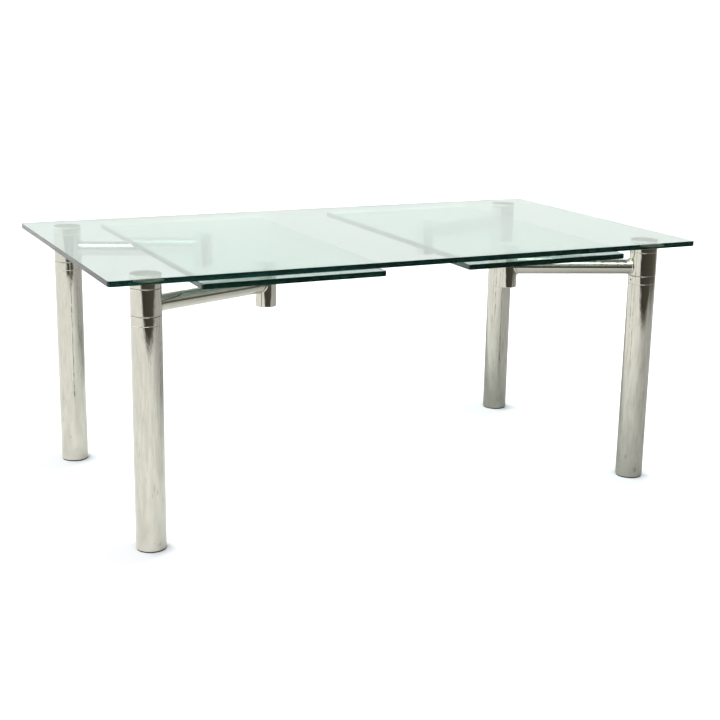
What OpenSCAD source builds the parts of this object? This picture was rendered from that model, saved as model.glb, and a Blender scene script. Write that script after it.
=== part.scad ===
// Extendable dining table: a glass top on four round chrome legs. Each leg carries a
// swivel arm, and the arms hold two glass leaves stored under the top. With a leaf slid
// out, its two arms swing outwards and carry it beyond the end of the top.
// Frame: origin on the floor under the centre of the top, X along the length, Y to the
// back, Z up. The legs are named front_left, front_right, back_left and back_right.

/* [Overall] */
// Length of the glass top along X
top_l = 1800; // [1600:10:2400]
// Width of the glass top along Y
top_w = 1000; // [800:10:1300]
// Height of the glass top's upper face above the floor
table_h = 750; // [620:5:900]

/* [Glass] */
// Thickness of the glass top
top_t = 15; // [10:1:19]
// Corner radius of the glass top
top_corner_r = 12; // [3:1:60]
// Thickness of the glass leaves
leaf_t = 15; // [8:1:19]
// Corner radius of the glass leaves
leaf_corner_r = 8; // [3:1:40]
// Free height between a stored leaf and the glass top
leaf_gap = 10; // [4:1:25]
// How far each end of a leaf stays inside the long edge of the top
leaf_end_inset = 10; // [0:1:40]
// Joint between an extended leaf and the end of the top
seam_gap = 3.5; // [1:0.5:10]

/* [Legs] */
// Outer diameter of a leg, its collar, ring and cap
leg_d = 82; // [66:1:110]
// Wall of the leg tube and of the swivel collar
leg_wall = 3; // [1.5:0.5:5]
// Distance from the end of the top to a leg's axis
leg_inset_x = 122; // [80:1:180]
// Distance from the long edge of the top to a leg's axis
leg_inset_y = 88; // [60:1:160]
// Height of the fixed cap at the top of a leg
cap_h = 18.5; // [10:0.5:40]
// Thickness of the metal disc bonded under the glass
bond_t = 4; // [1.5:0.5:8]
// Height of the swivel collar
collar_h = 70.4; // [60:0.2:110]
// Height of the fixed ring under the collar
ring_h = 24; // [12:1:50]
// Thickness of the thrust washers above and below the collar
washer_t = 1; // [0.5:0.1:3]
// Chamfer on the edges of turned chrome pieces
edge_c = 0.8; // [0.2:0.1:1.5]

/* [Spindle] */
// Diameter of the spindle that the collar turns on
spindle_d = 50; // [36:1:60]
// Bore through the spindle
spindle_bore = 30; // [10:1:34]
// Length of the spindle's plug inside the leg tube
spindle_plug_h = 55; // [30:1:90]
// Height of each bush between spindle and collar
bush_h = 10; // [5:1:20]

/* [Swivel arm] */
// Distance from a leg's axis to the axis of the post at the arm's end
arm_len = 415; // [340:1:460]
// Angle of a stored arm, measured from the length of the table
arm_angle = 20.8; // [12:0.1:30]
// Outer diameter of the arm tube
arm_d = 44.5; // [30:0.5:54]
// Wall of the arm tube
arm_wall = 2.5; // [1.5:0.5:5]
// Height of the arm tube's underside above the lower edge of the collar
arm_lip = 1.95; // [1:0.05:20]
// Width of the rosette round each end of the arm tube
rosette_w = 3; // [1.5:0.5:6]
// Thickness of the rosette, off the tube that it sits on
rosette_t = 4; // [2:0.5:8]

/* [Post] */
// Outer diameter of the upright tube at the arm's end
post_d = 57; // [54:1:80]
// Wall of the upright tube
post_wall = 2.5; // [1.5:0.5:5]
// Length of the upright tube below the arm's axis
post_drop = 61; // [40:1:120]
// Thickness of the upright tube's closed bottom
post_floor = 4; // [2:0.5:8]
// Diameter of the lift post
lift_d = 40; // [24:1:44]
// Diameter of the lift post's head
head_d = 66; // [60:1:90]
// Thickness of the lift post's head
head_t = 3.4; // [2:0.2:8]
// Thickness of the soft pad under a leaf
pad_t = 3; // [1.5:0.5:6]
// Height of the plastic guide round the lift post
guide_h = 34; // [15:1:40]

/* [Feet] */
// Thickness of the glide under a leg
glide_t = 4; // [3:0.5:10]
// How far the glide's edge stays inside the leg
glide_inset = 2; // [1:0.5:6]
// Diameter of the glide's stem
stem_d = 10; // [6:1:16]
// Height of the plug inside the foot of a leg
plug_h = 20; // [12:1:40]

/* [Fasteners] */
// Diameter of the grub screw in each ring
grub_d = 6; // [4:1:8]
// How far the grub screw's outer end lies under the surface of the ring
grub_recess = 2; // [0.5:0.5:6]
// Depth of the hexagon socket in the grub screw
grub_socket_depth = 3; // [2:0.5:4]
// Distance across the flats of the hexagon socket
grub_socket_af = 3; // [2:0.5:4]
// Direction of the grub screws: 0 points out across the table, 90 inwards along it
grub_turn = 90; // [0:0.5:90]

/* [Fits] */
// Free height between a turning or sliding piece and the fixed piece next to it
soft_gap = 0.3; // [0.2:0.1:1]
// Radial clearance of a bush on its spindle or post
run_gap = 0.05; // [0.02:0.01:0.1]

/* [Hidden] */
$fn = 96;

// Positions of the legs and of the stored posts
leg_x = top_l/2 - leg_inset_x;
leg_y = top_w/2 - leg_inset_y;
reach_x = arm_len*cos(arm_angle);
reach_y = arm_len*sin(arm_angle);
leaf_x = leg_x - reach_x;

// The glass leaves: an extended leaf ends one seam short of the top
leaf_w = 2*(reach_x - leg_inset_x - seam_gap);
leaf_l = top_w - 2*leaf_end_inset;

// Radii
leg_r = leg_d/2;
leg_ir = leg_r - leg_wall;
spindle_r = spindle_d/2;
grub_l = leg_r - spindle_r - grub_recess;
arm_r = arm_d/2;
arm_ir = arm_r - arm_wall;
post_r = post_d/2;
post_ir = post_r - post_wall;
lift_r = lift_d/2;
head_r = head_d/2;
rosette_r = arm_r + rosette_w;
cut = 1;

// Heights, worked down from the upper face of the glass
top_z = table_h - top_t;
leaf_top_z = top_z - leaf_gap;
leaf_z = leaf_top_z - leaf_t;
bond_z = top_z - bond_t;
cap_z = bond_z - cap_h;
collar_top_z = cap_z - washer_t - soft_gap;
collar_z = collar_top_z - collar_h;
washer_z = collar_z - soft_gap - washer_t;
ring_z = washer_z - ring_h;
plug_z = ring_z - spindle_plug_h;
arm_z = collar_z + arm_lip + arm_r;
pad_z = leaf_z - soft_gap - pad_t;
head_z = pad_z - head_t;
post_top_z = head_z - soft_gap;
post_z = arm_z - post_drop;

// A corner is [side along X, side along Y]
front_left = [-1, -1];
front_right = [1, -1];
back_left = [-1, 1];
back_right = [1, 1];
corners = [front_left, front_right, back_left, back_right];

chrome = [0.80, 0.80, 0.79];
dull_steel = [0.62, 0.62, 0.60];
black_plastic = [0.06, 0.06, 0.06];
white_plastic = [0.86, 0.86, 0.84];
clear_pad = [0.80, 0.84, 0.82];
glass_green = [0.72, 0.88, 0.82, 0.45];

// Moves children to a leg's axis
module at_leg(c) {
    translate([c[0]*leg_x, c[1]*leg_y, 0]) children();
}

// Moves children to the axis of a stored post
module at_post(c) {
    translate([c[0]*(leg_x - reach_x), c[1]*(leg_y - reach_y), 0]) children();
}

// Moves children to a leg's axis at arm height, with +X along the stored arm
module along_arm(c) {
    at_leg(c)
        translate([0, 0, arm_z])
            rotate([0, 0, atan2(-c[1]*reach_y, -c[0]*reach_x)])
                children();
}

// A turned disc or ring from z0 to z1, with chamfered outer edges
module turned(r, ri, z0, z1, c) {
    rotate_extrude()
        polygon([[ri, z0], [r - c, z0], [r, z0 + c], [r, z1 - c], [r - c, z1], [ri, z1]]);
}

// A plain ring from z0 to z1
module ring(r, ri, z0, z1) {
    turned(r, ri, z0, z1, 0.01);
}

// A flat plate centred on the origin, with rounded corners
module plate(l, w, t, r) {
    linear_extrude(t) {
        square([l - 2*r, w], center = true);
        square([l, w - 2*r], center = true);
        for (x = [-1, 1], y = [-1, 1])
            translate([x*(l/2 - r), y*(w/2 - r)]) circle(r);
    }
}

// A bar along +X from x0 to x1
module bar(r, x0, x1) {
    translate([x0, 0, 0]) rotate([0, 90, 0]) cylinder(r = r, h = x1 - x0);
}

// An upright cylinder on the local axis at x, tall enough to cut an arm
module upright(x, r) {
    translate([x, 0, -2*arm_d]) cylinder(r = r, h = 4*arm_d);
}

// Moves children to the grub screw's axis in a leg's ring, with +X pointing outwards
module at_grub(c) {
    at_leg(c)
        translate([0, 0, ring_z + ring_h/2])
            rotate([0, 0, atan2(c[1]*cos(grub_turn), -c[0]*sin(grub_turn))])
                children();
}

module main_top() {
    color(glass_green)
        translate([0, 0, top_z]) plate(top_l, top_w, top_t, top_corner_r);
}

module leaf(side) {
    color(glass_green)
        translate([side*leaf_x, 0, leaf_z]) plate(leaf_w, leaf_l, leaf_t, leaf_corner_r);
}

module bond_discs() {
    color(dull_steel)
        for (c = corners) at_leg(c) turned(leg_r, 0, bond_z, top_z, edge_c/4);
}

module thrust_washers() {
    color(white_plastic)
        for (c = corners) at_leg(c) {
            ring(leg_ir, spindle_r, washer_z, washer_z + washer_t);
            ring(leg_ir, spindle_r, cap_z - washer_t, cap_z);
        }
}

module grub_screws() {
    color(dull_steel)
        for (c = corners) at_grub(c)
            difference() {
                bar(grub_d/2, spindle_r, spindle_r + grub_l);
                translate([spindle_r + grub_l - grub_socket_depth, 0, 0])
                    rotate([0, 90, 0])
                        cylinder(r = grub_socket_af/2/cos(30), h = grub_socket_depth + cut, $fn = 6);
            }
}

module foot_plugs() {
    color(black_plastic)
        for (c = corners) at_leg(c) ring(leg_ir, stem_d/2, glide_t, glide_t + plug_h);
}

module leg(c) {
    color(chrome) at_leg(c) turned(leg_r, leg_ir, glide_t, ring_z, edge_c);
}

module glide(c) {
    color(black_plastic) at_leg(c) {
        turned(leg_r - glide_inset, 0, 0, glide_t, edge_c);
        cylinder(r = stem_d/2, h = glide_t + plug_h - edge_c);
    }
}

module ring_piece(c) {
    color(chrome)
        difference() {
            at_leg(c) turned(leg_r, spindle_r, ring_z, ring_z + ring_h, edge_c);
            at_grub(c) bar(grub_d/2, spindle_r - cut, leg_r + cut);
        }
}

module cap(c) {
    color(chrome)
        at_leg(c)
            difference() {
                turned(leg_r, 0, cap_z, bond_z, edge_c);
                translate([0, 0, cap_z - cut]) cylinder(r = spindle_r, h = cap_h/2 + cut);
            }
}

// The spindle: a plug in the leg tube and a shaft up into the cap
module spindle(c) {
    color(dull_steel)
        at_leg(c)
            rotate_extrude()
                polygon([
                    [spindle_bore/2, plug_z], [leg_ir, plug_z], [leg_ir, ring_z],
                    [spindle_r, ring_z], [spindle_r, cap_z + cap_h/2],
                    [spindle_bore/2, cap_z + cap_h/2]
                ]);
}

module collar(c) {
    color(chrome) at_leg(c) turned(leg_r, leg_ir, collar_z, collar_top_z, edge_c);
}

// The two bushes pressed into a collar
module bushes(c) {
    color(white_plastic)
        at_leg(c) {
            ring(leg_ir, spindle_r + run_gap, collar_z, collar_z + bush_h);
            ring(leg_ir, spindle_r + run_gap, collar_top_z - bush_h, collar_top_z);
        }
}

// The arm tube, its ends cut to sit on the collar and on the post
module arm(c) {
    color(chrome)
        along_arm(c)
            difference() {
                bar(arm_r, 0, arm_len);
                bar(arm_ir, -cut, arm_len + cut);
                upright(0, leg_r);
                upright(arm_len, post_r);
            }
}

// A saddle of even thickness round the arm tube, on the upright of radius r at x
module rosette(x, r, x0, x1) {
    intersection() {
        difference() {
            bar(rosette_r, x0, x1);
            bar(arm_r, x0 - cut, x1 + cut);
            upright(x, r);
        }
        upright(x, r + rosette_t);
    }
}

module rosettes(c) {
    color(chrome)
        along_arm(c) {
            rosette(0, leg_r, 0, leg_d);
            rosette(arm_len, post_r, arm_len - post_d, arm_len);
        }
}

// The upright tube at the arm's end, closed at the bottom
module post(c) {
    color(chrome)
        at_post(c) {
            rotate_extrude()
                polygon([
                    [0, post_z], [post_r - edge_c, post_z], [post_r, post_z + edge_c],
                    [post_r, post_top_z - edge_c], [post_r - edge_c, post_top_z],
                    [post_ir, post_top_z], [post_ir, post_z + post_floor],
                    [0, post_z + post_floor]
                ]);
        }
}

module guide(c) {
    color(white_plastic)
        at_post(c) ring(post_ir, lift_r + run_gap, post_top_z - guide_h, post_top_z);
}

// The lift post: a shaft inside the upright tube, with a flat head over its rim
module lift(c) {
    color(chrome)
        at_post(c) {
            turned(head_r, 0, head_z, pad_z, edge_c);
            translate([0, 0, post_z + post_floor + soft_gap])
                cylinder(r = lift_r, h = head_z - post_z - post_floor - soft_gap + head_t/2);
        }
}

module pad(c) {
    color(clear_pad)
        at_post(c) turned(head_r - edge_c, 0, pad_z, pad_z + pad_t, edge_c/2);
}

main_top();
leaf(-1);  // leaf_left
leaf(1);  // leaf_right
bond_discs();
thrust_washers();
grub_screws();
foot_plugs();
leg(front_left);  // leg_front_left
leg(front_right);  // leg_front_right
leg(back_left);  // leg_back_left
leg(back_right);  // leg_back_right
glide(front_left);  // glide_front_left
glide(front_right);  // glide_front_right
glide(back_left);  // glide_back_left
glide(back_right);  // glide_back_right
ring_piece(front_left);  // ring_front_left
ring_piece(front_right);  // ring_front_right
ring_piece(back_left);  // ring_back_left
ring_piece(back_right);  // ring_back_right
cap(front_left);  // cap_front_left
cap(front_right);  // cap_front_right
cap(back_left);  // cap_back_left
cap(back_right);  // cap_back_right
spindle(front_left);  // spindle_front_left
spindle(front_right);  // spindle_front_right
spindle(back_left);  // spindle_back_left
spindle(back_right);  // spindle_back_right
collar(front_left);  // collar_front_left
collar(front_right);  // collar_front_right
collar(back_left);  // collar_back_left
collar(back_right);  // collar_back_right
bushes(front_left);  // bushes_front_left
bushes(front_right);  // bushes_front_right
bushes(back_left);  // bushes_back_left
bushes(back_right);  // bushes_back_right
arm(front_left);  // arm_front_left
arm(front_right);  // arm_front_right
arm(back_left);  // arm_back_left
arm(back_right);  // arm_back_right
rosettes(front_left);  // rosettes_front_left
rosettes(front_right);  // rosettes_front_right
rosettes(back_left);  // rosettes_back_left
rosettes(back_right);  // rosettes_back_right
post(front_left);  // post_front_left
post(front_right);  // post_front_right
post(back_left);  // post_back_left
post(back_right);  // post_back_right
guide(front_left);  // guide_front_left
guide(front_right);  // guide_front_right
guide(back_left);  // guide_back_left
guide(back_right);  // guide_back_right
lift(front_left);  // lift_front_left
lift(front_right);  // lift_front_right
lift(back_left);  // lift_back_left
lift(back_right);  // lift_back_right
pad(front_left);  // pad_front_left
pad(front_right);  // pad_front_right
pad(back_left);  // pad_back_left
pad(back_right);  // pad_back_right
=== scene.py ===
"""An extendable glass dining table on round chrome legs, standing in a white studio.

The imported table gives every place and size. Turned and drawn pieces are surfaces worked
out on a grid: a profile carried round an axis, or a ring carried along a tube.
All lengths are in metres.
"""

import math

import bmesh
import bpy
import numpy as np
from mathutils import Matrix, Vector


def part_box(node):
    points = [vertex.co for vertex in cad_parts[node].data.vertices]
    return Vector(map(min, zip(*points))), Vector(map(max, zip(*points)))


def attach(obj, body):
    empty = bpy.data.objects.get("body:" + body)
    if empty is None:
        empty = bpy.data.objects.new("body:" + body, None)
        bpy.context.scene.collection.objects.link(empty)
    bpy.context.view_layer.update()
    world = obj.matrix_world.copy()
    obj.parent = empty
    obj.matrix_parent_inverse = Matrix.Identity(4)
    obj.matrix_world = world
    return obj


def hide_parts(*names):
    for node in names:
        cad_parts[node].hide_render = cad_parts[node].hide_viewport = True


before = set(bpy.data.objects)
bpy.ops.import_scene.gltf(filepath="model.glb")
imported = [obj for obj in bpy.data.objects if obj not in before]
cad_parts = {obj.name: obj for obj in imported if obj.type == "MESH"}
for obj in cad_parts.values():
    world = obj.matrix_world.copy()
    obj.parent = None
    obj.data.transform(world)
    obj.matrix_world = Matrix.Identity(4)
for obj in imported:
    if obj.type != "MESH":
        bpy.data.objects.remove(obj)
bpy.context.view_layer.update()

# Front is the side towards the camera, left is towards -X
CORNERS = ("front_left", "front_right", "back_left", "back_right")
MM = 0.001

# How finely round things are divided
AROUND_LEG = 144
AROUND_ARM = 96
AROUND_SCREW = 32
ARM_STATIONS = 13
ARC_STEPS = 6
CORNER_STEPS = 14
SHARP_ANGLE = math.radians(32)
GLASS_BOUNCES = 32

# Edge rounding of the chrome pieces and the saddles, and the arris of the glass
EDGE = 0.8 * MM
ROSETTE_EDGE = 1.2 * MM
ARRIS = 1.1 * MM
# How far beyond a rounding a point keeps the flat side's own shading
SUPPORT = 0.3 * MM
# How proud of the ring the rim and the socket floor of a grub screw stand
SCREW_RIM = 0.25 * MM
SCREW_FLOOR = 0.1 * MM

# The camera stands to the front left of the table
CAMERA_AT = Vector((-1.7717, -3.7544, 1.4135))
CAMERA_AZIMUTH = math.radians(-25.638)
CAMERA_PITCH = math.radians(14.401)
CAMERA_ROLL = math.radians(1.006)
CAMERA_LENS = 68.75
CAMERA_SENSOR = 36.0


# ---------------------------------------------------------------- camera


def look_matrix(azimuth, pitch, roll):
    """The camera's axes as columns: right, up and back, turned about the line of sight."""
    back = Vector((
        math.sin(azimuth) * math.cos(pitch),
        -math.cos(azimuth) * math.cos(pitch),
        math.sin(pitch),
    ))
    right = Vector((0, 0, 1)).cross(back).normalized()
    up = back.cross(right)
    turned_right = math.cos(roll) * right + math.sin(roll) * up
    turned_up = -math.sin(roll) * right + math.cos(roll) * up
    return Matrix((turned_right, turned_up, back)).transposed().to_4x4()


def make_camera():
    """The camera at the table's usual three-quarter view."""
    data = bpy.data.cameras.new("camera")
    data.lens = CAMERA_LENS
    data.sensor_width = CAMERA_SENSOR
    data.clip_start = 0.05
    data.clip_end = 100
    camera = bpy.data.objects.new("camera", data)
    turn = look_matrix(CAMERA_AZIMUTH, CAMERA_PITCH, CAMERA_ROLL)
    camera.matrix_world = Matrix.Translation(CAMERA_AT) @ turn
    bpy.context.collection.objects.link(camera)
    bpy.context.scene.camera = camera


make_camera()


# ---------------------------------------------------------------- node helpers


class Nodes:
    """A short way to write a node tree: each call adds a node and links what it is given."""

    def __init__(self, tree):
        self.tree = tree
        tree.nodes.clear()

    def add(self, kind, settings=None, **inputs):
        """Adds a node. Settings are its own properties; inputs are values or output sockets."""
        node = self.tree.nodes.new(kind)
        for key, value in (settings or {}).items():
            setattr(node, key, value)
        for key, value in inputs.items():
            self.feed(self.socket(node, key), value)
        return node

    def socket(self, node, key):
        """The input of a node with this name, written with _ for a space, or this number."""
        wanted = key.strip("_").replace("_", " ").lower()
        if wanted.isdigit():
            return node.inputs[int(wanted)]
        return next(s for s in node.inputs if s.name.lower() == wanted and s.enabled)

    def feed(self, socket, value):
        if isinstance(value, bpy.types.NodeSocket):
            self.tree.links.new(value, socket)
        else:
            socket.default_value = value

    def math(self, operation, *values):
        node = self.tree.nodes.new("ShaderNodeMath")
        node.operation = operation
        for socket, value in zip(node.inputs, values):
            self.feed(socket, value)
        return node.outputs[0]

    def dot(self, vector, direction):
        """How far a vector goes along a direction."""
        node = self.tree.nodes.new("ShaderNodeVectorMath")
        node.operation = "DOT_PRODUCT"
        self.feed(node.inputs[0], vector)
        self.feed(node.inputs[1], direction)
        return node.outputs["Value"]

    def distance(self, vector, point):
        """How far a place is from a point."""
        node = self.tree.nodes.new("ShaderNodeVectorMath")
        node.operation = "DISTANCE"
        self.feed(node.inputs[0], vector)
        self.feed(node.inputs[1], point)
        return node.outputs["Value"]

    def ramp(self, factor, stops):
        """A colour ramp with stops of (place, colour)."""
        node = self.tree.nodes.new("ShaderNodeValToRGB")
        self.feed(node.inputs["Fac"], factor)
        elements = node.color_ramp.elements
        elements[0].position, elements[-1].position = stops[0][0], stops[-1][0]
        for place, _ in stops[1:-1]:
            elements.new(place)
        for element, (_, colour) in zip(elements, stops):
            element.color = (*colour, 1)
        return node.outputs["Color"]

    def map_range(self, value, low, high, to_low=0.0, to_high=1.0, smooth=False):
        node = self.tree.nodes.new("ShaderNodeMapRange")
        node.interpolation_type = "SMOOTHSTEP" if smooth else "LINEAR"
        for socket, given in zip(node.inputs, (value, low, high, to_low, to_high)):
            self.feed(socket, given)
        return node.outputs["Result"]

    def noise(self, vector, scale, detail=3.0, roughness=0.5):
        node = self.add("ShaderNodeTexNoise", Scale=scale, Detail=detail, Roughness=roughness)
        self.feed(node.inputs["Vector"], vector)
        return node.outputs[0]

    def placed(self, scale=(1, 1, 1), location=(0, 0, 0)):
        """Object coordinates, stretched and moved."""
        coords = self.tree.nodes.new("ShaderNodeTexCoord")
        mapping = self.add("ShaderNodeMapping", Scale=scale, Location=location)
        self.feed(mapping.inputs["Vector"], coords.outputs["Object"])
        return mapping.outputs["Vector"]

    def mix_colour(self, factor, first, second):
        node = self.tree.nodes.new("ShaderNodeMix")
        node.data_type = "RGBA"
        self.feed(node.inputs["Factor"], factor)
        self.feed(node.inputs["A"], first)
        self.feed(node.inputs["B"], second)
        return next(s for s in node.outputs if s.enabled)

    def bump(self, height, distance, strength=1.0):
        node = self.add("ShaderNodeBump", Strength=strength, Distance=distance)
        self.feed(node.inputs["Height"], height)
        return node.outputs["Normal"]


def new_material(name):
    material = bpy.data.materials.new(name)
    material.use_nodes = True
    return material, Nodes(material.node_tree)


def show(nodes, surface, volume=None):
    """Ends a material's tree with its surface, and its volume where it has one."""
    output = nodes.tree.nodes.new("ShaderNodeOutputMaterial")
    nodes.feed(output.inputs["Surface"], surface)
    if volume is not None:
        nodes.feed(output.inputs["Volume"], volume)


# ---------------------------------------------------------------- materials


def chrome_plate(name, low=(0.55, 0.53, 0.455), high=(0.64, 0.62, 0.54)):
    """Polished chrome on drawn tube: long soft ripples, hazy wiped patches, fine specks."""
    material, n = new_material(name)
    ripple = n.noise(n.placed(scale=(60, 60, 9)), 1.0, 3.0, 0.6)
    wave = n.noise(n.placed(scale=(24, 24, 5), location=(3, 1, 2)), 1.0, 2.0)
    haze = n.noise(n.placed(scale=(22, 22, 9), location=(1, 5, 3)), 1.0, 5.0, 0.6)
    specks = n.noise(n.placed(scale=(420, 420, 160)), 1.0, 2.0)
    height = n.math("ADD", ripple, n.math("MULTIPLY", wave, 2.0))
    smudged = n.map_range(haze, 0.45, 0.75, 0.02, 0.07)
    shader = n.add(
        "ShaderNodeBsdfPrincipled",
        Base_Color=n.mix_colour(haze, (*low, 1), (*high, 1)),
        Metallic=1.0,
        Roughness=n.math("ADD", smudged, n.map_range(specks, 0.62, 0.8, 0.0, 0.12)),
        Normal=n.bump(height, 0.0005),
    )
    show(n, shader.outputs[0])
    return material


def float_glass(name, tint, absorbed, density):
    """Clear float glass: green along its length, with the faint roll wave of tempering.

    Lamps and the floor's light pass straight through, a little greener.
    """
    material, n = new_material(name)
    roll = n.noise(n.placed(scale=(5, 9, 5)), 1.0, 1.0)
    shader = n.add(
        "ShaderNodeBsdfPrincipled",
        Base_Color=(*tint, 1),
        Roughness=0.0,
        IOR=1.52,
        Transmission_Weight=1.0,
        Normal=n.bump(roll, 0.00006),
    )
    clear = n.add("ShaderNodeBsdfTransparent", Color=(0.99, 0.995, 0.99, 1))
    light = n.tree.nodes.new("ShaderNodeLightPath")
    passing = n.math("MAXIMUM", light.outputs["Is Shadow Ray"], light.outputs["Is Diffuse Ray"])
    mixed = n.tree.nodes.new("ShaderNodeMixShader")
    n.feed(mixed.inputs[0], passing)
    n.feed(mixed.inputs[1], shader.outputs[0])
    n.feed(mixed.inputs[2], clear.outputs[0])
    volume = n.add("ShaderNodeVolumeAbsorption", Color=(*absorbed, 1), Density=density)
    show(n, mixed.outputs[0], volume.outputs[0])
    return material


def turned_steel(name, colour, rough):
    """Bare machined steel with fine tool marks round each piece and darker patches."""
    material, n = new_material(name)
    patches = n.noise(n.placed(scale=(30, 30, 30)), 1.0, 4.0, 0.6)
    marks = n.noise(n.placed(scale=(40, 40, 2600)), 1.0, 2.0)
    dark = tuple(0.72 * c for c in colour)
    shader = n.add(
        "ShaderNodeBsdfPrincipled",
        Base_Color=n.mix_colour(patches, (*dark, 1), (*colour, 1)),
        Metallic=1.0,
        Roughness=n.map_range(patches, 0.3, 0.7, rough - 0.06, rough + 0.08),
        Normal=n.bump(marks, 0.00004),
    )
    show(n, shader.outputs[0])
    return material


def moulded_plastic(name, colour, rough):
    """Moulded plastic with a fine spark-eroded grain and slightly uneven colour."""
    material, n = new_material(name)
    grain = n.noise(n.placed(scale=(900, 900, 900)), 1.0, 2.0)
    cloud = n.noise(n.placed(scale=(18, 18, 18)), 1.0, 3.0)
    dark = tuple(0.8 * c for c in colour)
    shader = n.add(
        "ShaderNodeBsdfPrincipled",
        Base_Color=n.mix_colour(cloud, (*dark, 1), (*colour, 1)),
        Roughness=n.map_range(cloud, 0.3, 0.7, rough - 0.05, rough + 0.06),
        Normal=n.bump(grain, 0.00003, 0.6),
    )
    show(n, shader.outputs[0])
    return material


def soft_pad_material(name):
    """Milky soft pad, slightly see-through at its rim, with a dusting of fine grain."""
    material, n = new_material(name)
    cloud = n.noise(n.placed(scale=(60, 60, 60)), 1.0, 3.0)
    shader = n.add(
        "ShaderNodeBsdfPrincipled",
        Base_Color=n.mix_colour(cloud, (0.55, 0.58, 0.56, 1), (0.70, 0.73, 0.71, 1)),
        Roughness=n.map_range(cloud, 0.3, 0.7, 0.32, 0.48),
        Normal=n.bump(cloud, 0.0001),
    )
    show(n, shader.outputs[0])
    return material


CHROME = chrome_plate("chrome_plate")
TOP_GLASS = float_glass("top_glass", (0.82, 0.87, 0.835), (0.20, 0.50, 0.47), 6.4)
LEAF_GLASS = float_glass("leaf_glass", (0.91, 0.975, 0.95), (0.17, 0.50, 0.45), 7.6)
DISC_STEEL = turned_steel("bonded_disc_steel", (0.86, 0.85, 0.78), 0.42)
SPINDLE_STEEL = turned_steel("spindle_steel", (0.52, 0.52, 0.51), 0.26)
BLACK_SCREW = turned_steel("black_screw", (0.10, 0.10, 0.10), 0.38)
WHITE_ACETAL = moulded_plastic("white_acetal", (0.82, 0.82, 0.78), 0.42)
BLACK_NYLON = moulded_plastic("black_nylon", (0.045, 0.045, 0.047), 0.5)
SOFT_PAD = soft_pad_material("soft_pad")


# ---------------------------------------------------------------- surfaces on a grid


def finish_mesh(name, points, faces, material, body):
    """Makes a mesh object: merges poles and seams, turns faces outwards, keeps edges crisp."""
    mesh = bpy.data.meshes.new(name)
    mesh.from_pydata(points.reshape(-1, 3), [], faces)
    bm = bmesh.new()
    bm.from_mesh(mesh)
    bmesh.ops.remove_doubles(bm, verts=bm.verts, dist=1e-7)
    bmesh.ops.recalc_face_normals(bm, faces=bm.faces)
    bm.to_mesh(mesh)
    bm.free()
    mesh.shade_smooth()
    mesh.set_sharp_from_angle(angle=SHARP_ANGLE)
    mesh.materials.append(material)
    piece = bpy.data.objects.new(name, mesh)
    bpy.context.collection.objects.link(piece)
    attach(piece, body)
    return piece


def grid_faces(rows, columns, wrap_rows=True):
    """Quads of a grid whose columns close on themselves, and whose rows may too."""
    last = rows if wrap_rows else rows - 1
    i, j = np.meshgrid(np.arange(last), np.arange(columns), indexing="ij")
    below, beside = (i + 1) % rows, (j + 1) % columns
    quads = np.stack(
        (i * columns + j, i * columns + beside, below * columns + beside, below * columns + j), axis=-1
    )
    return quads.reshape(-1, 4).tolist()


def rounded(corners, radius):
    """A closed outline of (across, up) points with every corner rounded, where there is room.

    At a corner with inner angle t, the arc touches each side at radius / tan(t / 2) from the
    corner, and a point just beyond keeps the side's own shading flat. Corners on the axis of
    turning stay as they are.
    """
    corners = np.array(corners, float)
    out = []
    for before, here, after in zip(np.roll(corners, 1, 0), corners, np.roll(corners, -1, 0)):
        if here[0] < 1e-9:
            out.append(here[None])
            continue
        u, v = before - here, after - here
        short = min(np.linalg.norm(u), np.linalg.norm(v))
        u, v = u / np.linalg.norm(u), v / np.linalg.norm(v)
        half = math.acos(max(-1.0, min(1.0, float(u @ v)))) / 2
        reach = min(radius / math.tan(half), 0.48 * short)
        r = reach * math.tan(half)
        middle = here + (u + v) / np.linalg.norm(u + v) * r / math.sin(half)
        start, stop = here + u * reach - middle, here + v * reach - middle
        sweep = math.pi - 2 * half
        t = np.linspace(0, 1, ARC_STEPS + 1)[:, None]
        arc = (np.sin((1 - t) * sweep) * start + np.sin(t * sweep) * stop) / math.sin(sweep)
        beside = min(reach + SUPPORT, 0.49 * short)
        out += [(here + u * beside)[None], middle + arc, (here + v * beside)[None]]
    return np.concatenate(out)


def turned(name, centre, outline, material, body, around=AROUND_LEG):
    """A turned piece: (r cos a, r sin a, z) for every point (r, z) of a closed outline."""
    angle = np.linspace(0, 2 * math.pi, around, endpoint=False)
    r, z = outline[:, :1], outline[:, 1:]
    points = np.stack(
        (centre[0] + r * np.cos(angle), centre[1] + r * np.sin(angle), z + 0 * angle), axis=-1
    )
    return finish_mesh(name, points, grid_faces(len(outline), around), material, body)


def glass_plate(name, low, high, corner, material, body):
    """A glass plate: a rounded rectangle, its polished edge met by an arris at top and bottom.

    Each row of the grid is the outline moved inwards by the arris or by nothing, at one height.
    """
    quarter = np.linspace(0, math.pi / 2, CORNER_STEPS + 1)
    angle = np.concatenate([quarter + k * math.pi / 2 for k in range(4)])
    side_x = np.sign(np.repeat((1, -1, -1, 1), CORNER_STEPS + 1))
    side_y = np.sign(np.repeat((1, 1, -1, -1), CORNER_STEPS + 1))
    middle, half = (low + high) / 2, (high - low) / 2
    inset = np.array((ARRIS, 0, 0, ARRIS))[:, None]
    height = np.array((low.z, low.z + ARRIS, high.z - ARRIS, high.z))[:, None]
    x = middle.x + side_x * (half.x - corner) + (corner - inset) * np.cos(angle)
    y = middle.y + side_y * (half.y - corner) + (corner - inset) * np.sin(angle)
    points = np.stack((x, y, height + 0 * x), axis=-1)
    rows, columns = x.shape
    faces = grid_faces(rows, columns, wrap_rows=False)
    faces.append(list(range(columns))[::-1])
    faces.append(list(range((rows - 1) * columns, rows * columns)))
    return finish_mesh(name, points, faces, material, body)


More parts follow.
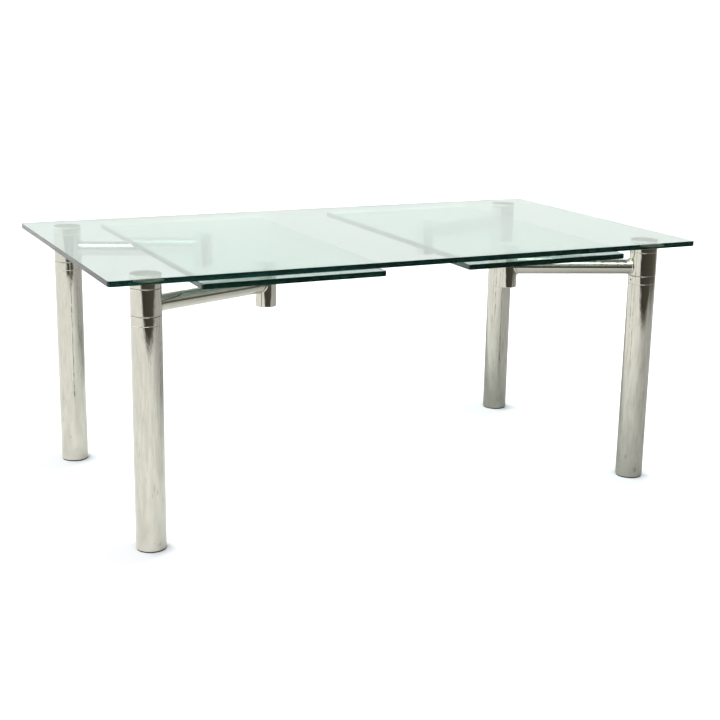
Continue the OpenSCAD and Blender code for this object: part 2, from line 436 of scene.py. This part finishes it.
def along(centre, direction):
    """Carries points from an arm's own frame, with x along the arm, to their place."""
    c, s = math.cos(direction), math.sin(direction)
    turn = np.array(((c, s, 0), (-s, c, 0), (0, 0, 1)))
    return lambda points: points @ turn + np.array(centre)


# ---------------------------------------------------------------- sizes from the frame


def centre_of(node):
    """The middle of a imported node's box."""
    low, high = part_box(node)
    return (low + high) / 2


def radius_of(node):
    """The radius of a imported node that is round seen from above."""
    low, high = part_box(node)
    return (high.x - low.x) / 2


# Radii, alike at all four corners
SIZES = {
    "leg_r": radius_of("leg_front_left"),
    "post_r": radius_of("post_front_left"),
    "head_r": radius_of("lift_front_left"),
    "pad_r": radius_of("pad_front_left"),
    "glide_r": radius_of("glide_front_left"),
}
arm_low, arm_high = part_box("arm_front_left")
ARM_R = (arm_high.z - arm_low.z) / 2
ARM_Z = (arm_high.z + arm_low.z) / 2
rosette_low, rosette_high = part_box("rosettes_front_left")
ROSETTE_R = (rosette_high.z - rosette_low.z) / 2
# Sizes that no box in the frame shows
LEG_WALL = 3.0 * MM
RING_WALL = 9.0 * MM
ARM_WALL = 2.5 * MM
POST_FLOOR = 4.0 * MM
POST_EDGE = 1.6 * MM
ROSETTE_T = 4.0 * MM
LIFT_R = 20.0 * MM
HEAD_GAP = 0.3 * MM
STEM_R = 5.0 * MM
BOND_EDGE = 0.4 * MM
TOP_CORNER_R = 12.0 * MM
LEAF_CORNER_R = 8.0 * MM


# ---------------------------------------------------------------- pieces


def ring_outline(r, inner, z0, z1, edge=EDGE):
    """Half the section of a short tube, with rounded edges."""
    return rounded(((inner, z0), (r, z0), (r, z1), (inner, z1)), edge)


def disc_outline(r, z0, z1, edge=EDGE):
    """Half the section of a disc, with rounded edges."""
    return rounded(((0, z0), (r, z0), (r, z1), (0, z1)), edge)


def dress(piece, slot, *nodes):
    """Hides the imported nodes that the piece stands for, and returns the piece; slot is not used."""
    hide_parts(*nodes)
    return piece


def on_round(outline, around, body_r):
    """A ring, from an outline of (radius, lift), that sits on a round tube seen from its side.

    At angle a the ring has y = radius cos a and z = radius sin a, and lies at
    x = root of (tube radius + lift) squared less y squared.
    """
    angle = np.linspace(0, 2 * math.pi, around, endpoint=False)
    ring, lift = outline[:, :1], outline[:, 1:]
    y, z = ring * np.cos(angle), ring * np.sin(angle)
    return np.sqrt((body_r + lift) ** 2 - y**2), y, z


def leg_pieces(corner):
    """The fixed chrome of one leg: tube, ring and cap, with the glide below."""
    r = SIZES["leg_r"]
    leg = f"leg_{corner}"
    centre = centre_of(leg)
    for kind, inner in (("leg", r - LEG_WALL), ("ring", r - RING_WALL)):
        node = f"{kind}_{corner}"
        low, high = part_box(node)
        outline = ring_outline(r, inner, low.z, high.z)
        dress(turned(f"{kind}_chrome_{corner}", centre, outline, CHROME, "table"), "chrome", node)
    node = f"cap_{corner}"
    low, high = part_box(node)
    outline = disc_outline(r, low.z, high.z)
    dress(turned(f"cap_chrome_{corner}", centre, outline, CHROME, "table"), "chrome", node)
    node = f"glide_{corner}"
    low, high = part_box(node)
    foot_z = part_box(leg)[0].z
    outline = rounded(
        ((0, low.z), (SIZES["glide_r"], low.z), (SIZES["glide_r"], foot_z),
         (STEM_R, foot_z), (STEM_R, high.z), (0, high.z)), EDGE
    )
    piece = turned(f"glide_black_{corner}", centre, outline, BLACK_NYLON, "table")
    dress(piece, "black_plastic", node)
    bond_low, bond_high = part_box("bond_discs")
    outline = disc_outline(r, bond_low.z, bond_high.z, BOND_EDGE)
    piece = turned(f"bonded_disc_{corner}", centre, outline, DISC_STEEL, "table")
    dress(piece, "satin_disc", "bond_discs")


def grub_piece(corner):
    """The black end of the grub screw with its socket, standing just proud of the ring."""
    leg, ring_r = centre_of(f"leg_{corner}"), SIZES["leg_r"]
    points = np.array([v.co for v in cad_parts["grub_screws"].data.vertices])
    near = points[np.hypot(points[:, 0] - leg.x, points[:, 1] - leg.y) < ring_r]
    middle = (near.min(0) + near.max(0)) / 2
    r = np.ptp(near[:, 2]) / 2
    place = along((leg.x, leg.y, middle[2]), math.atan2(middle[1] - leg.y, middle[0] - leg.x))
    outline = rounded(
        ((0, 0), (r, 0), (r, SCREW_RIM), (r / 2, SCREW_RIM), (r / 2, SCREW_FLOOR), (0, SCREW_FLOOR)),
        SCREW_FLOOR,
    )
    points = place(np.stack(on_round(outline, AROUND_SCREW, ring_r), axis=-1))
    faces = grid_faces(len(outline), AROUND_SCREW)
    piece = finish_mesh(f"grub_screw_{corner}", points, faces, BLACK_SCREW, "table")
    dress(piece, "dark_screw", "grub_screws")


def collar_piece(corner, body):
    """The chrome collar that turns on the leg."""
    r = SIZES["leg_r"]
    node = f"collar_{corner}"
    low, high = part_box(node)
    outline = ring_outline(r, r - LEG_WALL, low.z, high.z)
    piece = turned(f"collar_chrome_{corner}", centre_of(node), outline, CHROME, body)
    dress(piece, "chrome", node)


def post_pieces(corner, body):
    """The upright tube with its closed bottom, the lift post with its head, and the pad."""
    r = SIZES["post_r"]
    node = f"post_{corner}"
    centre = centre_of(node)
    low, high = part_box(node)
    inner = r - ARM_WALL
    outline = rounded(
        ((0, low.z), (r, low.z), (r, high.z), (inner, high.z),
         (inner, low.z + POST_FLOOR), (0, low.z + POST_FLOOR)), POST_EDGE
    )
    dress(turned(f"post_chrome_{corner}", centre, outline, CHROME, body), "chrome", node)
    lift_low, lift_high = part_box(f"lift_{corner}")
    head = SIZES["head_r"]
    head_z = high.z + HEAD_GAP
    outline = rounded(
        ((0, lift_low.z), (LIFT_R, lift_low.z), (LIFT_R, head_z), (head, head_z),
         (head, lift_high.z), (0, lift_high.z)), EDGE
    )
    piece = turned(f"lift_chrome_{corner}", centre, outline, CHROME, body)
    dress(piece, "chrome", f"lift_{corner}")
    pad_low, pad_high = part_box(f"pad_{corner}")
    outline = disc_outline(SIZES["pad_r"], pad_low.z, pad_high.z)
    piece = turned(f"pad_soft_{corner}", centre, outline, SOFT_PAD, body)
    dress(piece, "clear_pad", f"pad_{corner}")


def arm_piece(corner, body):
    """The arm tube between collar and post.

    At angle a round the arm, y = r cos a and z = r sin a. The tube starts on the collar, where
    x is the root of collar radius squared less y squared, and ends on the post in the same way.
    """
    leg, post = centre_of(f"leg_{corner}"), centre_of(f"post_{corner}")
    span = Vector((post.x - leg.x, post.y - leg.y))
    place = along((leg.x, leg.y, ARM_Z), math.atan2(span.y, span.x))
    collar_r, post_r = SIZES["leg_r"], SIZES["post_r"]
    stations = np.linspace(0, 1, ARM_STATIONS)
    share = np.concatenate((stations, stations[::-1]))[:, None]
    r = np.concatenate((0 * stations + ARM_R, 0 * stations + ARM_R - ARM_WALL))[:, None]
    angle = np.linspace(0, 2 * math.pi, AROUND_ARM, endpoint=False)
    y, z = r * np.cos(angle), r * np.sin(angle)
    start = np.sqrt(collar_r**2 - y**2)
    stop = span.length - np.sqrt(post_r**2 - y**2)
    x = start + share * (stop - start)
    points = place(np.stack((x, y, z), axis=-1))
    faces = grid_faces(len(share), AROUND_ARM)
    piece = finish_mesh(f"arm_chrome_{corner}", points, faces, CHROME, body)
    dress(piece, "chrome", f"arm_{corner}")

    outline = rounded(
        ((ARM_R, 0), (ROSETTE_R, 0), (ROSETTE_R, ROSETTE_T), (ARM_R, ROSETTE_T)), ROSETTE_EDGE
    )
    on_collar, y, z = on_round(outline, AROUND_ARM, collar_r)
    before_post, _, _ = on_round(outline, AROUND_ARM, post_r)
    for name, x in (("collar", on_collar), ("post", span.length - before_post)):
        points = place(np.stack((x, y, z), axis=-1))
        faces = grid_faces(len(outline), AROUND_ARM)
        piece = finish_mesh(f"rosette_{name}_{corner}", points, faces, CHROME, body)
        dress(piece, "chrome", f"rosettes_{corner}")


def glass_pieces():
    """The top and the two leaves."""
    low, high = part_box("main_top")
    piece = glass_plate("glass_top", low, high, TOP_CORNER_R, TOP_GLASS, "table")
    dress(piece, "top_glass", "main_top")
    for side in ("left", "right"):
        low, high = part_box(f"leaf_{side}")
        piece = glass_plate(
            f"glass_leaf_{side}", low, high, LEAF_CORNER_R, LEAF_GLASS, f"{side}_leaf"
        )
        dress(piece, "leaf_glass", f"leaf_{side}")


def kept_nodes():
    """Materials of the inner pieces that are shown as they were packed."""
    looks = {
        "thrust_washers": WHITE_ACETAL,
        "foot_plugs": BLACK_NYLON,
    }
    for corner in CORNERS:
        looks[f"spindle_{corner}"] = SPINDLE_STEEL
        looks[f"bushes_{corner}"] = WHITE_ACETAL
        looks[f"guide_{corner}"] = WHITE_ACETAL
    for node, material in looks.items():
        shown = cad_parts[node]
        shown.data.materials.clear()
        shown.data.materials.append(material)


for corner in CORNERS:
    swing = f"swing_arm_{corner}"
    leg_pieces(corner)
    grub_piece(corner)
    collar_piece(corner, swing)
    post_pieces(corner, swing)
    arm_piece(corner, swing)
glass_pieces()
kept_nodes()


# ---------------------------------------------------------------- studio

TO_CAMERA = Vector((math.sin(CAMERA_AZIMUTH), -math.cos(CAMERA_AZIMUTH), 0))
CAMERA_RIGHT = Vector((math.cos(CAMERA_AZIMUTH), math.sin(CAMERA_AZIMUTH), 0))
ROOM_LIGHT = 1.9
BACKGROUND_LIGHT = 1.3
# Two soft lamps: height angle, turn from the camera's side to the right, cosines of the
# soft rim, and light. One hangs in front of the table and a broad one on its left.
LAMPS = (
    (math.radians(60), math.radians(0), (0.925, 0.955), (2.9, 3.0, 3.15)),
    (math.radians(46), math.radians(-95), (0.80, 0.90), (1.75, 1.75, 1.73)),
)
CEILING = (0.14, 0.15, 0.15)
UPPER_WALL = 0.15
# Where the upper wall and the ceiling fade in, by how far one looks up: 0 is level, 1 is
# straight up
UPPER_WALL_FROM = (0.12, 0.28)
CEILING_FROM = (0.45, 0.65)
FLOOR_REACH = 30.0
# The white paper: its own tone, and how bright it is seen directly, in chrome, and
# behind and under the glass
PAPER = 0.9
PAPER_EXPOSED = 1.22
PAPER_MIRRORED = 0.85
PAPER_BEHIND_GLASS = 0.78
PAPER_UNDER_GLASS = 0.70
# Soft shade on the paper round each foot: its depth, where it starts and ends from its
# middle, and how far that lies to the left and front, because the lamps' own shadows fall
# to the right and back
FOOT_SHADES = {"front_left": 0.61, "front_right": 0.70, "back_left": 0.62, "back_right": 0.69}
FOOT_SHADE_RIM = (0.06, 0.14)
FOOT_SHADE_LEFT = 0.05
FOOT_SHADE_FRONT = 0.05
# Where the paper ends in reflections, towards the camera (on a slant) and to its right
PAPER_SLANT = 0.45
PAPER_FRONT = (2.5, 3.3)
PAPER_RIGHT = (2.9, 4.3)
# Painted shade: in reflections the paper is painted darker round this place, from the camera's side to
# the right
DARK_FROM = (-0.6, -1.5)
DARK_TURN = (math.radians(7), math.radians(52))
DARKEST = 0.5
# Painted shade under the glass: the same darkening to the right, but weaker
DARKEST_PAINTED_SHADE_UNDER_GLASS = 0.92
# Through the glass the paper grows brighter towards the camera, over this stretch
PAPER_NEAR_UNDER_GLASS = 1.15
NEAR_STRETCH = (-1.6, 0.6)


def room_stops(least):
    """Brightness of the room round the table, by angle from the camera's side, to the right.

    A white wall stands on the left, the dark studio lies in front and on the right, and a
    pale wall closes the back. Nothing is darker than least.
    """
    white, warm, green = (1.0, 0.99, 0.94), (1.0, 0.94, 0.80), (0.95, 1.0, 0.96)
    levels = (
        (-180, 0.61, green), (-165, 0.60, green), (-125, 0.64, white), (-60, 0.78, white),
        (-38, 0.72, white), (-33, 0.03, warm), (20, 0.04, warm), (60, 0.05, warm),
        (115, 0.09, warm), (148, 0.50, white), (165, 0.60, green), (180, 0.61, green),
    )
    return [
        ((angle + 180) / 360, tuple(max(level, least) * c for c in tint))
        for angle, level, tint in levels
    ]


def make_world():
    """The studio's room, which lights the table and is seen in it. The background is white."""
    world = bpy.data.worlds.new("studio")
    bpy.context.scene.world = world
    world.use_nodes = True
    n = Nodes(world.node_tree)
    coords = n.tree.nodes.new("ShaderNodeTexCoord")
    way = coords.outputs["Generated"]
    right, front = n.dot(way, CAMERA_RIGHT), n.dot(way, TO_CAMERA)
    angle = n.math("ARCTAN2", right, front)
    around = n.map_range(angle, -math.pi, math.pi)
    walls, upper_walls = n.ramp(around, room_stops(0)), n.ramp(around, room_stops(UPPER_WALL))
    up = n.dot(way, (0, 0, 1))
    walls = n.mix_colour(n.map_range(up, *UPPER_WALL_FROM, smooth=True), walls, upper_walls)
    ceiling = n.map_range(up, *CEILING_FROM, smooth=True)
    room = n.mix_colour(ceiling, walls, (*CEILING, 1))
    for height, turn, rim, colour in LAMPS:
        level_way = math.cos(turn) * TO_CAMERA + math.sin(turn) * CAMERA_RIGHT
        lamp_way = math.cos(height) * level_way + math.sin(height) * Vector((0, 0, 1))
        room = n.mix_colour(n.map_range(n.dot(way, lamp_way), *rim, smooth=True), room, (*colour, 1))
    seen = n.add("ShaderNodeBackground", Color=room, Strength=ROOM_LIGHT)
    plain = n.add("ShaderNodeBackground", Color=(1, 1, 1, 1), Strength=BACKGROUND_LIGHT)
    light = n.tree.nodes.new("ShaderNodeLightPath")
    mixed = n.tree.nodes.new("ShaderNodeMixShader")
    n.feed(mixed.inputs[0], light.outputs["Is Camera Ray"])
    n.feed(mixed.inputs[1], seen.outputs[0])
    n.feed(mixed.inputs[2], plain.outputs[0])
    output = n.tree.nodes.new("ShaderNodeOutputWorld")
    n.feed(output.inputs["Surface"], mixed.outputs[0])


def make_floor():
    """A white paper floor.

    It is shaded a little round each foot. In reflections it carries painted shade that darkens it
    to the right, is uneven, and ends in front and on the right. Under the glass it is painted
    darker away from the camera, the more so to the right.
    """
    mesh = bpy.data.meshes.new("floor")
    corners = [(x * FLOOR_REACH, y * FLOOR_REACH, 0) for x, y in ((-1, -1), (1, -1), (1, 1), (-1, 1))]
    mesh.from_pydata(corners, [], [(0, 1, 2, 3)])
    floor = bpy.data.objects.new("floor", mesh)
    bpy.context.collection.objects.link(floor)
    material, n = new_material("white_paper")
    light = n.tree.nodes.new("ShaderNodeLightPath")
    place = n.placed()
    right, front = n.dot(place, CAMERA_RIGHT), n.dot(place, TO_CAMERA)
    turn = n.math("ARCTAN2", n.math("SUBTRACT", right, DARK_FROM[0]),
                  n.math("SUBTRACT", front, DARK_FROM[1]))
    # Painted shade: the paper is painted darker to the right, in reflections and, less so, under the
    # glass
    dark = n.map_range(turn, *DARK_TURN, 1.0, DARKEST, smooth=True)
    painted_shade_under_glass = n.map_range(turn, *DARK_TURN, 1.0, DARKEST_PAINTED_SHADE_UNDER_GLASS, smooth=True)
    near = n.map_range(front, *NEAR_STRETCH, smooth=True)
    far_under_glass = n.math("MULTIPLY", painted_shade_under_glass, PAPER_UNDER_GLASS)
    under_glass = n.map_range(near, 0, 1, far_under_glass, PAPER_NEAR_UNDER_GLASS)
    uneven = n.map_range(n.noise(place, 2.6, 4.0, 0.6), 0.36, 0.64, 0.88, 1.10)
    flecks = n.map_range(n.noise(place, 7.0, 3.0, 0.6), 0.62, 0.70, 1.0, 0.70)
    reflected = n.math("MULTIPLY", n.math("MULTIPLY", dark, uneven), flecks)
    foot_shade = 1.0
    aside = FOOT_SHADE_FRONT * TO_CAMERA - FOOT_SHADE_LEFT * CAMERA_RIGHT
    for corner, depth in FOOT_SHADES.items():
        middle = centre_of(f"leg_{corner}") + aside
        away = n.distance(place, (middle.x, middle.y, 0))
        shade = n.map_range(away, *FOOT_SHADE_RIM, depth, 1.0, smooth=True)
        foot_shade = n.math("MULTIPLY", foot_shade, shade)
    exposed = n.math("MULTIPLY", foot_shade, PAPER_EXPOSED)
    through = light.outputs["Is Transmission Ray"]
    in_mirror = n.math("MULTIPLY", light.outputs["Is Glossy Ray"], n.math("SUBTRACT", 1.0, through))
    past_glass = n.math("MINIMUM", light.outputs["Transmission Depth"], 1.0)
    level = PAPER
    for seen, shade in (
        (light.outputs["Is Camera Ray"], exposed),
        (in_mirror, n.math("MULTIPLY", reflected, PAPER_MIRRORED)),
        (through, under_glass),
        (past_glass, PAPER_BEHIND_GLASS),
    ):
        level = n.math("MULTIPLY", level, n.map_range(seen, 0, 1, 1.0, shade))
    paper = n.add("ShaderNodeBsdfDiffuse", Color=level)
    clear = n.tree.nodes.new("ShaderNodeBsdfTransparent")
    slanted = n.math("ADD", front, n.math("MULTIPLY", right, PAPER_SLANT))
    in_front = n.map_range(slanted, *PAPER_FRONT, smooth=True)
    on_right = n.map_range(right, *PAPER_RIGHT, smooth=True)
    beyond = n.math("MAXIMUM", in_front, on_right)
    gone = n.math("MULTIPLY", beyond, in_mirror)
    mixed = n.tree.nodes.new("ShaderNodeMixShader")
    n.feed(mixed.inputs[0], gone)
    n.feed(mixed.inputs[1], paper.outputs[0])
    n.feed(mixed.inputs[2], clear.outputs[0])
    show(n, mixed.outputs[0])
    mesh.materials.append(material)


make_world()
make_floor()
bpy.context.scene.view_settings.view_transform = "Standard"
bpy.context.scene.view_settings.look = "None"
# Light goes the whole length of a glass plate before it leaves at the far edge
bpy.context.scene.cycles.max_bounces = GLASS_BOUNCES
bpy.context.scene.cycles.transmission_bounces = GLASS_BOUNCES
bpy.context.scene.cycles.glossy_bounces = GLASS_BOUNCES
# The legs throw no bright patches of lamp light on the paper
bpy.context.scene.cycles.caustics_reflective = False
